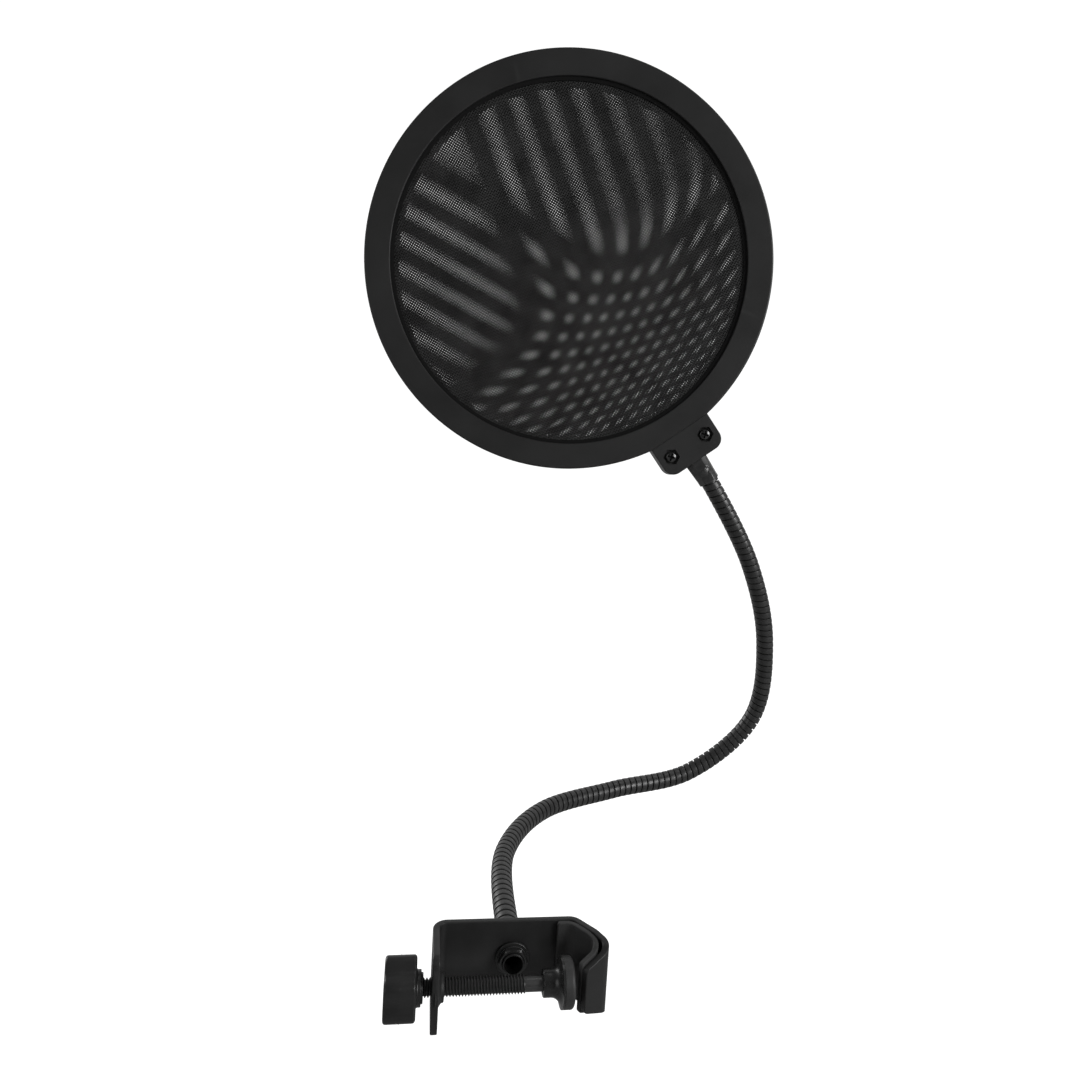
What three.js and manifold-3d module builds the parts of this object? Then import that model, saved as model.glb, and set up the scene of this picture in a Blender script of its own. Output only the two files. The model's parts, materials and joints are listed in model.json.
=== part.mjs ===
// Pop filter: a double-mesh hoop on a gooseneck, with a screw clamp for a microphone stand's tube.
//
// Millimetres. The origin is on the lower edge of the bracket's web, under the gooseneck's stud. +X runs
// along the thumbscrew towards the V jaw, +Y from the jaw's opening through the web and out to the
// gooseneck, and +Z up along the tube that the clamp holds. The pieces are drawn about the thumbscrew's
// axis, with X counted from the inner face of the threaded leg, and the whole is moved at the end.
import * as THREE from "three";
import { mergeVertices } from "three/addons/utils/BufferGeometryUtils.js";
import Module from "manifold-3d";

const wasm = await Module();
wasm.setup();

// ---- Driving dimensions -------------------------------------------------------------------------

const GAP = 0.3; // between pieces that rest on each other
const PAST = 1; // how far a cutting tool runs past the face it opens
const CHAMFER = 0.4; // on a turned or moulded edge
const TURN = 2 * Math.PI;
const SIDES = 20; // of a small round piece
const HOOP_SIDES = 48;

// The bracket: one strip, bent three times.
const STRIP_WIDTH = 21;
const STRIP = 1.8; // thickness
const WEB_Y = 11.1; // inner face of the web
const LEG_REACH = 5; // how far the threaded leg passes the screw's axis
const LEG_CORNER = 2.5; // rounded corners at the leg's end
const FIRST_BEND = [37, WEB_Y + STRIP / 2]; // where the web turns into the V jaw
const APEX = [45.1, 0.9];
const LIP_TIP = [37.2, -3.9];
const BEND_RADIUS = 3; // of the strip's middle
const APEX_HEIGHT = 18.6; // the strip narrows from the web's width to this at the apex
const TIP_HEIGHT = 9.2; // and to this at the tip of the lip
const BOSS = { radius: 3.5, height: 1.4 }; // drawn collar round the threaded hole
const TAPER_START = 5.5; // the Y below which the strip narrows
const LINER = { thickness: 1.2, start: 32.2, bends: [6.5, 4.2], trim: 0.2 };

// The thumbscrew, along X. The knob's turn is the angle, in degrees, that a lobe stands above -Y.
const SCREW = { thread: 2.35, hole: 2.65, shank: 1.9, groove: 1.25, threadEnd: 22.45, tip: 31.3 };
const HEAD = { start: -11.4, height: 3.5, acrossFlats: 8 };
const KNOB = { outer: -13.7, inner: -5.6, middle: 7.7, lobe: 0.7, lobes: 6, edge: 0.7, turn: 35 };
const HUB = { radius: 4.3, end: -3.9 };
const CAP = { radius: 5.2, thickness: 1 };
const CLIP = { at: 29.35, thickness: 0.7, inner: 1.5, outer: 2.6, slack: 0.1 };
const PAD = { start: 27, collar: 3.4, flare: 29.1, bore: 2.3, chamber: 2.9, chamberStart: 28.2 };
const DISC = { start: 32.2, end: 34.9, radius: 6.3, edge: 0.9 };

// The gooseneck and its fittings.
const STUD = { x: 20.2, outer: 3, bore: 2.5, hole: 3.35, proud: 0.7 };
const WASHER = { radius: 4.75, thickness: 0.9 };
const LOCK_WASHER = { radius: 4, thickness: 0.5 };
const STUD_NUT = { acrossFlats: 7.2, thickness: 1.3 };
const BASE_FERRULE = { radius: 4.2, length: 10.6, floor: 3 };
const COIL = { outer: 3.45, inner: 2.6, sides: 10 };
const SPRING = { outer: 2.3, inner: 1.4, sides: 8 };
const SOCKET = 3.7; // bore of both ferrules where they hold the coil
const JOINT_GAP = 0.85; // each stretch of neck stops this far from the point it bends about
const NECK_STEPS = 5; // straight lengths in each stretch

// The neck's rest curve passes these points, which are also the points it bends about.
const BENDS = [
  [23.7, 67.4, 1.6],
  [41.9, 98.2, 2.4],
  [73.4, 115.1, 3.2],
  [108.5, 121.8, 8.5],
  [133.7, 120.2, 32.3],
  [133.8, 113.2, 67.3],
  [121.8, 107.2, 100.8],
];

// The filter head, in its own frame: x to the right, y up and z out of the front, from the middle.
const HEAD_CENTRE = [41.5, 111.2, 212.3];
const HEAD_TURN = -6.9; // degrees about Z
const HOOP = { outer: 77.5, inner: 67.8, depth: 4, wall: 1.9, flange: 1.8, dish: 0.8, split: 0.15 };
const LEDGE = { inner: 64.9, outer: 69.4, front: 2.7, back: 1.95, rim: 1 };
const MESH = { radius: 68.9, front: 1.75, back: 1.5 };
const SPACER = { inner: 65.3, outer: 69.1, half: 1.3 };
const TAB = { angle: -52.7, width: 25.7, reach: 89.6, chord: 76.6, front: 3.5, corner: 4.4 };
const TAB_SCREWS = { along: 82.9, apart: 15.6 };
const POCKET = { acrossFlats: 5.6, depth: 1.6 };
const TAB_SCREW = { head: 2.1, headHeight: 1.3, dome: 0.6, lift: 0.05, shank: 1.2, hole: 1.6, end: -3.4 };
const TAB_NUT = { acrossFlats: 5, thickness: 1.3 };
const TOP_FERRULE = { start: 80, end: 99.2, radius: 4.1, wide: 4.7, thin: 2.3, flatTo: 89.6, roundFrom: 94 };

// ---- Materials ----------------------------------------------------------------------------------

const material = (color, roughness, metalness) =>
  new THREE.MeshStandardMaterial({ color, roughness, metalness });

const paint = material(0x1d1d1e, 0.5, 0.3);
const plastic = material(0x1a1a1b, 0.55, 0);
const blackSteel = material(0x202021, 0.38, 0.8);
const brightSteel = material(0x8c8c8e, 0.3, 1);
const rubber = material(0x161616, 0.85, 0);
const nylon = material(0x232323, 0.8, 0);

// ---- Shapes -------------------------------------------------------------------------------------

// A geometry as a manifold-3d solid, and back.
function solid(geometry) {
  const bare = geometry.clone();
  bare.deleteAttribute("normal");
  bare.deleteAttribute("uv");
  const merged = mergeVertices(bare, 1e-4);
  return new wasm.Manifold(
    new wasm.Mesh({
      numProp: 3,
      vertProperties: merged.attributes.position.array,
      triVerts: new Uint32Array(merged.index.array),
    }),
  );
}

function surface(body) {
  const found = body.getMesh();
  const geometry = new THREE.BufferGeometry();
  geometry.setAttribute("position", new THREE.BufferAttribute(found.vertProperties, 3));
  geometry.setIndex(new THREE.BufferAttribute(found.triVerts, 1));
  return geometry;
}

const cut = (from, ...tools) =>
  surface(tools.reduce((left, tool) => left.subtract(solid(tool)), solid(from)));
const join = (...pieces) => surface(pieces.map(solid).reduce((whole, piece) => whole.add(piece)));
const common = (a, b) => surface(solid(a).intersect(solid(b)));

// A body of revolution about Y from [radius, height] points, listed anticlockwise.
const turned = (profile, segments = SIDES) =>
  new THREE.LatheGeometry(profile.map(([r, y]) => new THREE.Vector2(r, y)), segments);

// The same, with the axis laid along X or Z.
const turnedX = (profile, segments) => turned(profile, segments).rotateZ(-Math.PI / 2);
const turnedZ = (profile, segments) => turned(profile, segments).rotateX(Math.PI / 2);

// Profiles between two heights: a rod, and a tube.
const rod = (radius, low, high) => [[0, low], [radius, low], [radius, high], [0, high]];
const tube = (inner, outer, low, high) => [
  [inner, low], [outer, low], [outer, high], [inner, high], [inner, low],
];

// A flat outline pushed along Z, from one height to another.
const plate = (outline, low, high) =>
  new THREE.ExtrudeGeometry(outline, { depth: high - low, bevelEnabled: false }).translate(0, 0, low);

// The same, for an outline drawn in Y and Z and pushed along X.
const plateX = (outline, low, high) => plate(outline, low, high).rotateY(Math.PI / 2).rotateX(Math.PI / 2);

const outlineOf = (points) => new THREE.Shape(points.map(([x, y]) => new THREE.Vector2(x, y)));

function hexagon(acrossFlats) {
  const corner = acrossFlats / Math.sqrt(3);
  const points = [];
  for (let i = 0; i < 6; i += 1) {
    points.push([corner * Math.cos((i * TURN) / 6), corner * Math.sin((i * TURN) / 6)]);
  }
  return outlineOf(points);
}

// A rectangle with rounded corners, centred on the origin.
function roundedRectangle(width, height, radius) {
  const [x, y] = [width / 2 - radius, height / 2 - radius];
  return new THREE.Shape()
    .absarc(x, y, radius, 0, TURN / 4, false)
    .absarc(-x, y, radius, TURN / 4, TURN / 2, false)
    .absarc(-x, -y, radius, TURN / 2, (3 * TURN) / 4, false)
    .absarc(x, -y, radius, (3 * TURN) / 4, TURN, false);
}

// A line through corners, each rounded to a radius, as points.
function bentLine(corners, radii) {
  const at = corners.map(([x, y]) => new THREE.Vector2(x, y));
  const points = [at[0]];
  for (let i = 1; i < at.length - 1; i += 1) {
    const before = at[i - 1].clone().sub(at[i]).normalize();
    const after = at[i + 1].clone().sub(at[i]).normalize();
    const half = Math.acos(before.dot(after)) / 2;
    const middle = before.clone().add(after).normalize();
    const centre = at[i].clone().addScaledVector(middle, radii[i - 1] / Math.sin(half));
    const start = at[i].clone().addScaledVector(before, radii[i - 1] / Math.tan(half)).sub(centre);
    const sweep = (Math.PI - 2 * half) * Math.sign(before.cross(after)) * -1;
    const steps = 6;
    for (let k = 0; k <= steps; k += 1) {
      points.push(start.clone().rotateAround(new THREE.Vector2(), (sweep * k) / steps).add(centre));
    }
  }
  return [...points, at[at.length - 1]];
}

// The outline of a strip of even thickness along a line.
function stripOutline(line, thickness) {
  const side = (direction) =>
    line.map((point, i) => {
      const back = point.clone().sub(line[Math.max(i - 1, 0)]).normalize();
      const ahead = line[Math.min(i + 1, line.length - 1)].clone().sub(point).normalize();
      const along = back.clone().add(ahead).normalize();
      const spread = 1 / Math.max(along.dot(i ? back : ahead), 0.5);
      const normal = new THREE.Vector2(-along.y, along.x);
      return point.clone().addScaledVector(normal, (direction * thickness * spread) / 2);
    });
  return new THREE.Shape([...side(-1), ...side(1).reverse()]);
}

// Part of a curve, between two lengths along it.
class Stretch extends THREE.Curve {
  constructor(path, from, to) {
    super();
    const length = path.getLength();
    this.path = path;
    this.from = from / length;
    this.to = to / length;
  }

  getPoint(t, target = new THREE.Vector3()) {
    return this.path.getPointAt(this.from + (this.to - this.from) * t, target);
  }
}

// A round tube swept along a curve.
function sweptTube(curve, inner, outer, sides, steps) {
  const ring = new THREE.Shape().absarc(0, 0, outer, 0, TURN, false);
  ring.holes.push(new THREE.Path().absarc(0, 0, inner, 0, TURN, true));
  return new THREE.ExtrudeGeometry(ring, {
    extrudePath: curve,
    steps,
    curveSegments: sides / 2,
    bevelEnabled: false,
  });
}

function named(name, geometry, finish) {
  const mesh = new THREE.Mesh(geometry, finish);
  mesh.name = name;
  return mesh;
}

// ---- The clamp ----------------------------------------------------------------------------------

// The height that the jaw's taper leaves at each Y, as an outline in Y and Z.
function jawOutline(trim) {
  const half = STRIP_WIDTH / 2 - trim;
  const apex = [APEX[1], APEX_HEIGHT / 2 - trim];
  const tip = [LIP_TIP[1] - STRIP, TIP_HEIGHT / 2 - trim];
  const back = WEB_Y + 2 * STRIP;
  const upper = [[back, half], [TAPER_START, half], apex, tip];
  return outlineOf([...upper, ...upper.map(([y, z]) => [y, -z]).reverse()].reverse());
}

function makeBracket() {
  const line = bentLine(
    [[-STRIP / 2, -LEG_REACH], [-STRIP / 2, WEB_Y + STRIP / 2], FIRST_BEND, APEX, LIP_TIP],
    [BEND_RADIUS, BEND_RADIUS, BEND_RADIUS],
  );
  const strip = plate(stripOutline(line, STRIP), -STRIP_WIDTH / 2, STRIP_WIDTH / 2);
  const legDepth = LEG_REACH + WEB_Y + STRIP;
  const legOutline = roundedRectangle(2 * legDepth, STRIP_WIDTH, LEG_CORNER);
  const middle = STUD.x;
  const envelope = join(
    plateX(legOutline, -2 * STRIP, middle).translate(0, legDepth - LEG_REACH, 0),
    plateX(jawOutline(0), middle, APEX[0] + 2 * STRIP),
  );
  const boss = turnedX(rod(BOSS.radius, -STRIP / 2, BOSS.height));
  const threadedHole = turnedX(rod(SCREW.hole, -2 * STRIP, 2 * BOSS.height));
  const studHole = turned(rod(STUD.hole, WEB_Y - PAST, WEB_Y + STRIP + PAST)).translate(STUD.x, 0, 0);
  return named("bracket", cut(join(common(strip, envelope), boss), threadedHole, studHole), paint);
}

// The corners of a line moved sideways, to the right of its direction.
function movedCorners(corners, distance) {
  const at = corners.map(([x, y]) => new THREE.Vector2(x, y));
  const normals = at.slice(1).map((point, i) => {
    const along = point.clone().sub(at[i]).normalize();
    return new THREE.Vector2(along.y, -along.x);
  });
  return at.map((point, i) => {
    const before = normals[Math.max(i - 1, 0)];
    const after = normals[Math.min(i, normals.length - 1)];
    const middle = before.clone().add(after).normalize();
    const moved = point.clone().addScaledVector(middle, distance / middle.dot(before));
    return [moved.x, moved.y];
  });
}

// A rubber strip that lines the jaw, in easier bends than the steel's.
function makeLiner() {
  const start = [LINER.start, FIRST_BEND[1]];
  const corners = movedCorners([start, FIRST_BEND, APEX, LIP_TIP], STRIP / 2 + GAP + LINER.thickness / 2);
  const line = bentLine(corners, LINER.bends);
  const strip = plate(stripOutline(line, LINER.thickness), -STRIP_WIDTH / 2, STRIP_WIDTH / 2);
  const envelope = plateX(jawOutline(LINER.trim), LINER.start - PAST, APEX[0]);
  return named("jaw_liner", common(strip, envelope), rubber);
}

// The screw's solid, from its hex head in the knob to the grooved end in the pad.
function makeScrew() {
  const grooveStart = CLIP.at - CLIP.thickness / 2 - CLIP.slack;
  const grooveEnd = CLIP.at + CLIP.thickness / 2 + CLIP.slack;
  const stemStart = HEAD.start + HEAD.height / 2;
  const stem = turnedX([
    [0, stemStart], [SCREW.thread, stemStart],
    [SCREW.thread, SCREW.threadEnd - CHAMFER], [SCREW.shank, SCREW.threadEnd],
    [SCREW.shank, grooveStart], [SCREW.groove, grooveStart],
    [SCREW.groove, grooveEnd], [SCREW.shank, grooveEnd],
    [SCREW.shank, SCREW.tip - CHAMFER], [SCREW.shank - CHAMFER, SCREW.tip], [0, SCREW.tip],
  ]);
  const head = plate(hexagon(HEAD.acrossFlats), 0, HEAD.height)
    .rotateY(Math.PI / 2)
    .translate(HEAD.start, 0, 0);
  return named("clamp_screw", join(stem, head), blackSteel);
}

// The knob is lobed, with a hex pocket for the screw's head and a step for the cap.
function makeKnob() {
  const lobes = [];
  const corners = 60;
  for (let i = 0; i < corners; i += 1) {
    const angle = (i * TURN) / corners;
    const radius = KNOB.middle - KNOB.edge + KNOB.lobe * Math.cos(KNOB.lobes * angle);
    lobes.push([radius * Math.cos(angle), radius * Math.sin(angle)]);
  }
  const grip = new THREE.ExtrudeGeometry(outlineOf(lobes), {
    depth: KNOB.inner - KNOB.outer - 2 * KNOB.edge,
    bevelSize: KNOB.edge,
    bevelThickness: KNOB.edge,
    bevelSegments: 1,
  })
    .rotateZ(Math.PI / 2)
    .rotateY(Math.PI / 2)
    .rotateX((-KNOB.turn * Math.PI) / 180)
    .translate(KNOB.outer + KNOB.edge, 0, 0);
  const hub = turnedX(rod(HUB.radius, KNOB.inner - KNOB.edge, HUB.end));
  const pocket = plate(hexagon(HEAD.acrossFlats + 2 * GAP), KNOB.outer, HEAD.start + HEAD.height + GAP)
    .rotateY(Math.PI / 2);
  const capStep = turnedX(rod(CAP.radius + GAP, KNOB.outer - PAST, KNOB.outer + CAP.thickness + GAP));
  const hole = turnedX(rod(SCREW.hole, HEAD.start, HUB.end + PAST));
  return named("knob", cut(join(grip, hub), pocket, capStep, hole), plastic);
}

const makeKnobCap = () =>
  named("knob_cap", turnedX(rod(CAP.radius, KNOB.outer, KNOB.outer + CAP.thickness)), plastic);

// The pad's cup: a collar and a flare that opens to the disc, with a chamber for the clip.
function makePadCup() {
  const flareEnd = DISC.start - CHAMFER;
  const flare = [];
  const steps = 5;
  for (let i = 0; i <= steps; i += 1) {
    const angle = (i / steps) * (TURN / 4);
    const radius = DISC.radius - (DISC.radius - PAD.collar) * Math.cos(angle);
    flare.push([radius, PAD.flare + (flareEnd - PAD.flare) * Math.sin(angle)]);
  }
  const profile = [
    [PAD.bore, PAD.start], [PAD.collar, PAD.start], ...flare, [DISC.radius, DISC.start],
    [PAD.chamber, DISC.start], [PAD.chamber, PAD.chamberStart], [PAD.bore, PAD.chamberStart],
    [PAD.bore, PAD.start],
  ];
  return named("pad_cup", turnedX(profile), blackSteel);
}

// The pad's face, with a rounded edge.
function makePadFace() {
  const { start, end, radius, edge } = DISC;
  const corner = 0.3 * edge;
  const profile = [
    [0, start], [radius, start], [radius, end - edge], [radius - corner, end - corner],
    [radius - edge, end], [0, end],
  ];
  return named("pad_face", turnedX(profile), rubber);
}

function makeClip() {
  const low = CLIP.at - CLIP.thickness / 2;
  const ring = turnedX(tube(CLIP.inner, CLIP.outer, low, low + CLIP.thickness));
  return named("swivel_clip", ring, brightSteel);
}

// ---- The gooseneck ------------------------------------------------------------------------------

// The hollow stud and ferrule at the neck's foot, and the washers and nut on the web's inner face.
function makeBase() {
  const back = WEB_Y + STRIP;
  const washerLow = WEB_Y - WASHER.thickness;
  const lockLow = washerLow - LOCK_WASHER.thickness;
  const nutLow = lockLow - STUD_NUT.thickness;
  const studEnd = nutLow - STUD.proud;
  const end = back + BASE_FERRULE.length;
  const ferrule = turned([
    [STUD.bore, studEnd], [STUD.outer, studEnd], [STUD.outer, back],
    [BASE_FERRULE.radius, back], [BASE_FERRULE.radius, end - CHAMFER], [BASE_FERRULE.radius - CHAMFER, end],
    [SOCKET, end], [SOCKET, back + BASE_FERRULE.floor], [STUD.bore, back + BASE_FERRULE.floor],
    [STUD.bore, studEnd],
  ]);
  const hole = STUD.outer + GAP / 2;
  const nutHole = turned(rod(hole, nutLow - PAST, lockLow + PAST));
  const nut = plate(hexagon(STUD_NUT.acrossFlats), 0, STUD_NUT.thickness)
    .rotateX(Math.PI / 2)
    .translate(0, lockLow, 0);
  const pieces = [
    named("neck_base_ferrule", ferrule, blackSteel),
    named("stud_washer", turned(tube(hole, WASHER.radius, washerLow, WEB_Y)), blackSteel),
    named("stud_lock_washer", turned(tube(hole, LOCK_WASHER.radius, lockLow, washerLow)), brightSteel),
    named("stud_nut", cut(nut, nutHole), blackSteel),
  ];
  for (const piece of pieces) {
    piece.position.x = STUD.x;
  }
  return pieces;
}

// The neck's rest curve, from inside the base ferrule to inside the top one.
function neckCurve(head) {
  const start = new THREE.Vector3(STUD.x, WEB_Y + STRIP + BASE_FERRULE.floor, 0);
  const ferruleEnd = new THREE.Vector3(STUD.x, WEB_Y + STRIP + BASE_FERRULE.length, 0);
  const axis = tabDirection().multiplyScalar(TOP_FERRULE.end);
  const topEnd = head.localToWorld(axis.clone());
  const inside = head.localToWorld(axis.clone().setLength(TOP_FERRULE.roundFrom + CHAMFER));
  const bends = BENDS.map((point) => new THREE.Vector3(...point));
  return new THREE.CatmullRomCurve3([start, ferruleEnd, ...bends, topEnd, inside], false, "centripetal");
}

// The length along a curve at which it passes nearest to a point.
function lengthAt(curve, point) {
  const samples = 2000;
  const total = curve.getLength();
  let best = [Infinity, 0];
  for (let i = 0; i <= samples; i += 1) {
    const distance = curve.getPointAt(i / samples).distanceTo(point);
    if (distance < best[0]) best = [distance, (total * i) / samples];
  }
  return best[1];
}

// The coil and its inner spring, in stretches that end just short of the points they bend about.
function makeNeck(curve) {
  const total = curve.getLength();
  const bends = BENDS.map((point) => lengthAt(curve, new THREE.Vector3(...point)));
  const starts = [0, ...bends.map((length) => length + JOINT_GAP)];
  const ends = [...bends.map((length) => length - JOINT_GAP), total];
  return starts.flatMap((start, i) => {
    const stretch = new Stretch(curve, start, ends[i]);
    const coil = sweptTube(stretch, COIL.inner, COIL.outer, COIL.sides, NECK_STEPS);
    const spring = sweptTube(stretch, SPRING.inner, SPRING.outer, SPRING.sides, NECK_STEPS);
    return [
      named(`neck_coil_${i + 1}`, coil, blackSteel),
      named(`neck_spring_${i + 1}`, spring, brightSteel),
    ];
  });
}

// ---- The filter head ----------------------------------------------------------------------------

// From the hoop's centre out through the tab, in the head's frame.
function tabDirection() {
  const angle = THREE.MathUtils.degToRad(TAB.angle);
  return new THREE.Vector3(Math.cos(angle), Math.sin(angle), 0);
}

// Half of the hoop, its front face at +Z. The tab is drawn along +X and turned to its place.
function hoopHalf() {
  const { outer, inner, depth, wall, flange, dish, split } = HOOP;
  const innerFront = depth - dish;
  const hoop = turnedZ(
    [
      [outer, split], [outer, depth - CHAMFER], [outer - CHAMFER, depth],
      [inner + CHAMFER, innerFront], [inner, innerFront - CHAMFER], [inner, LEDGE.front],
      [LEDGE.inner, LEDGE.front], [LEDGE.inner, LEDGE.back], [LEDGE.outer, LEDGE.back],
      [LEDGE.outer, split], [LEDGE.outer + LEDGE.rim, split],
      [LEDGE.outer + LEDGE.rim, innerFront - flange],
      [outer - wall, depth - flange], [outer - wall, split], [outer, split],
    ],
    HOOP_SIDES,
  );
  const root = outer - wall - GAP;
  const tab = plate(roundedRectangle(2 * TAB.reach, TAB.width, TAB.corner), split, TAB.front);
  const keepOut = turnedZ(rod(root, -PAST, 2 * depth), HOOP_SIDES);
  const step = new THREE.BoxGeometry(2 * depth, TAB.width, depth).translate(
    TAB.chord + depth, 0, TAB.front + depth / 2,
  );
  const leftOfTab = new THREE.BoxGeometry(2 * TAB.reach, 2 * TAB.width, 4 * depth).translate(
    -TAB.reach, 0, 0,
  );
  const { wide, thin, start } = TOP_FERRULE;
  const groove = turnedX(rod(1, start - PAST, TAB.reach + PAST)).scale(1, wide + GAP, thin + GAP);
  const tools = [step, groove];
  for (const side of [-1, 1]) {
    const y = (side * TAB_SCREWS.apart) / 2;
    tools.push(
      turnedZ(rod(TAB_SCREW.hole, -PAST, 2 * depth)).translate(TAB_SCREWS.along, y, 0),
      plate(hexagon(POCKET.acrossFlats), TAB.front - POCKET.depth, 2 * depth).translate(
        TAB_SCREWS.along, y, 0,
      ),
    );
  }
  const outside = surface(solid(tab).subtract(solid(keepOut)).subtract(solid(leftOfTab)));
  return cut(join(hoop, outside), ...tools).rotateZ(THREE.MathUtils.degToRad(TAB.angle));
}

// The rear half is the front half turned over about the tab's middle line.
function makeHoop() {
  const front = hoopHalf();
  const rear = front.clone();
  const turnOver = new THREE.Matrix4().makeRotationAxis(tabDirection(), Math.PI);
  rear.applyMatrix4(turnOver);
  return [named("front_ring", front, plastic), named("rear_ring", rear, plastic)];
}

function makeMeshes() {
  const sheet = rod(MESH.radius, MESH.back, MESH.front);
  const rearSheet = rod(MESH.radius, -MESH.front, -MESH.back);
  const spacer = tube(SPACER.inner, SPACER.outer, -SPACER.half, SPACER.half);
  return [
    named("front_mesh", turnedZ(sheet, HOOP_SIDES), nylon),
    named("rear_mesh", turnedZ(rearSheet, HOOP_SIDES), nylon),
    named("mesh_spacer", turnedZ(spacer, HOOP_SIDES), plastic),
  ];
}

function makeTabHardware() {
  const { head, headHeight, dome, shank, end } = TAB_SCREW;
  const seat = TAB.front - POCKET.depth + TAB_SCREW.lift;
  const nutLow = -seat - TAB_NUT.thickness;
  const pieces = [];
  for (const [word, side] of [["left", -1], ["right", 1]]) {
    const screw = turnedZ([
      [0, end], [shank, end], [shank, seat], [head, seat], [head, seat + headHeight - dome],
      [head - dome, seat + headHeight], [0, seat + headHeight],
    ]);
    const nut = cut(
      plate(hexagon(TAB_NUT.acrossFlats), nutLow, nutLow + TAB_NUT.thickness),
      turnedZ(rod(shank + GAP / 2, nutLow - PAST, 0)),
    );
    pieces.push(
      named(`tab_screw_${word}`, screw.translate(0, (side * TAB_SCREWS.apart) / 2, 0), brightSteel),
      named(`tab_nut_${word}`, nut.translate(0, (side * TAB_SCREWS.apart) / 2, 0), blackSteel),
    );
  }
  for (const piece of pieces) {
    piece.position.x = TAB_SCREWS.along;
  }
  const group = new THREE.Group();
  group.rotation.z = THREE.MathUtils.degToRad(TAB.angle);
  group.add(...pieces);
  return group;
}

// A tube squeezed flat where the tab grips it, and round where it is crimped on the coil.
function makeTopFerrule() {
  const { start, end, radius, wide, thin, flatTo, roundFrom } = TOP_FERRULE;
  const socketFloor = roundFrom - CHAMFER;
  const outside = [[0, start], [1, start], [1, flatTo]];
  const steps = 4;
  for (let i = 1; i < steps; i += 1) {
    outside.push([1, flatTo + ((roundFrom - flatTo) * i) / steps]);
  }
  const profile = [
    ...outside, [1, roundFrom], [1, end - CHAMFER], [1 - CHAMFER / radius, end],
    [SOCKET / radius, end], [SOCKET / radius, socketFloor], [0, socketFloor],
  ];
  const body = turned(profile);
  const position = body.attributes.position;
  for (let i = 0; i < position.count; i += 1) {
    const along = position.getY(i);
    const round = THREE.MathUtils.smoothstep(along, flatTo, roundFrom);
    position.setX(i, position.getX(i) * THREE.MathUtils.lerp(wide, radius, round));
    position.setZ(i, position.getZ(i) * THREE.MathUtils.lerp(thin, radius, round));
  }
  body.rotateZ(-Math.PI / 2 + THREE.MathUtils.degToRad(TAB.angle));
  return named("top_ferrule", body, blackSteel);
}

// ---- Assembly -----------------------------------------------------------------------------------

const filterHead = new THREE.Group();
filterHead.position.set(...HEAD_CENTRE);
filterHead.rotation.order = "ZXY";
filterHead.rotation.set(Math.PI / 2, 0, THREE.MathUtils.degToRad(HEAD_TURN));
filterHead.updateMatrixWorld(true);
filterHead.add(...makeHoop(), ...makeMeshes(), makeTabHardware(), makeTopFerrule());

const assembly = new THREE.Group();
assembly.position.set(-STUD.x, -WEB_Y - STRIP / 2, STRIP_WIDTH / 2);
assembly.add(
  makeBracket(),
  makeLiner(),
  makeScrew(),
  makeKnob(),
  makeKnobCap(),
  makePadCup(),
  makePadFace(),
  makeClip(),
  ...makeBase(),
  ...makeNeck(neckCurve(filterHead)),
  filterHead,
);

const popFilter = new THREE.Group();
popFilter.add(assembly);

export default popFilter;
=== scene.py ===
# The look of the pop filter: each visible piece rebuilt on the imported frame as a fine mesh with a
# procedural material, above a pale floor in soft light. The drawing functions work in millimetres
# along the frame's axes, and a piece becomes metres when it is made.
import json
import math

import bmesh
import bpy
import numpy as np
from mathutils import Matrix, Vector


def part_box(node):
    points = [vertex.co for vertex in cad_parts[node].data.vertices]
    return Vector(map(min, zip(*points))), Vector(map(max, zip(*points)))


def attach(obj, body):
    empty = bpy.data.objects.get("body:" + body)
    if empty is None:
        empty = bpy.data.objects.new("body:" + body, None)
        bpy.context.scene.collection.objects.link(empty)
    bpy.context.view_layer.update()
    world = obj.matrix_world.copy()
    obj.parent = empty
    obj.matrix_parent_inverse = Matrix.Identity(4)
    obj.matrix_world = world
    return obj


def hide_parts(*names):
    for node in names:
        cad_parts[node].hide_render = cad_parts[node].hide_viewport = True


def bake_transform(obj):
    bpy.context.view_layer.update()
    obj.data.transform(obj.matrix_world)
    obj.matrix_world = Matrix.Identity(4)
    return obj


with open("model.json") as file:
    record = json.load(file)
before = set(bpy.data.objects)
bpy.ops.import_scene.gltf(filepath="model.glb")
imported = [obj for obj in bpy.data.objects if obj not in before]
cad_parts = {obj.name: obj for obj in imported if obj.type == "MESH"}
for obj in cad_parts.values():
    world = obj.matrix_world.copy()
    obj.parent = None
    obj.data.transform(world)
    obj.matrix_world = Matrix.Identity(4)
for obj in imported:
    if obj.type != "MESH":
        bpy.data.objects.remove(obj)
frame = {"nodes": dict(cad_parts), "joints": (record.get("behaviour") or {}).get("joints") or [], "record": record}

MM = 0.001
TURN = 2 * math.pi
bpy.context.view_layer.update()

record = frame["record"]
joints = {joint["name"]: joint for joint in frame["joints"]}
body_of = {node: body for body, nodes in record["behaviour"]["bodies"].items() for node in nodes}

# ---- Sizes, in millimetres ----

X_AXIS, Y_AXIS, Z_AXIS = (1, 0, 0), (0, 1, 0), (0, 0, 1)

STRIP = 1.8  # thickness of the bracket's strip
STRIP_EDGE = 0.3
LEG_CORNER = 2.5
TIP_CORNER = 1.0
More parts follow.
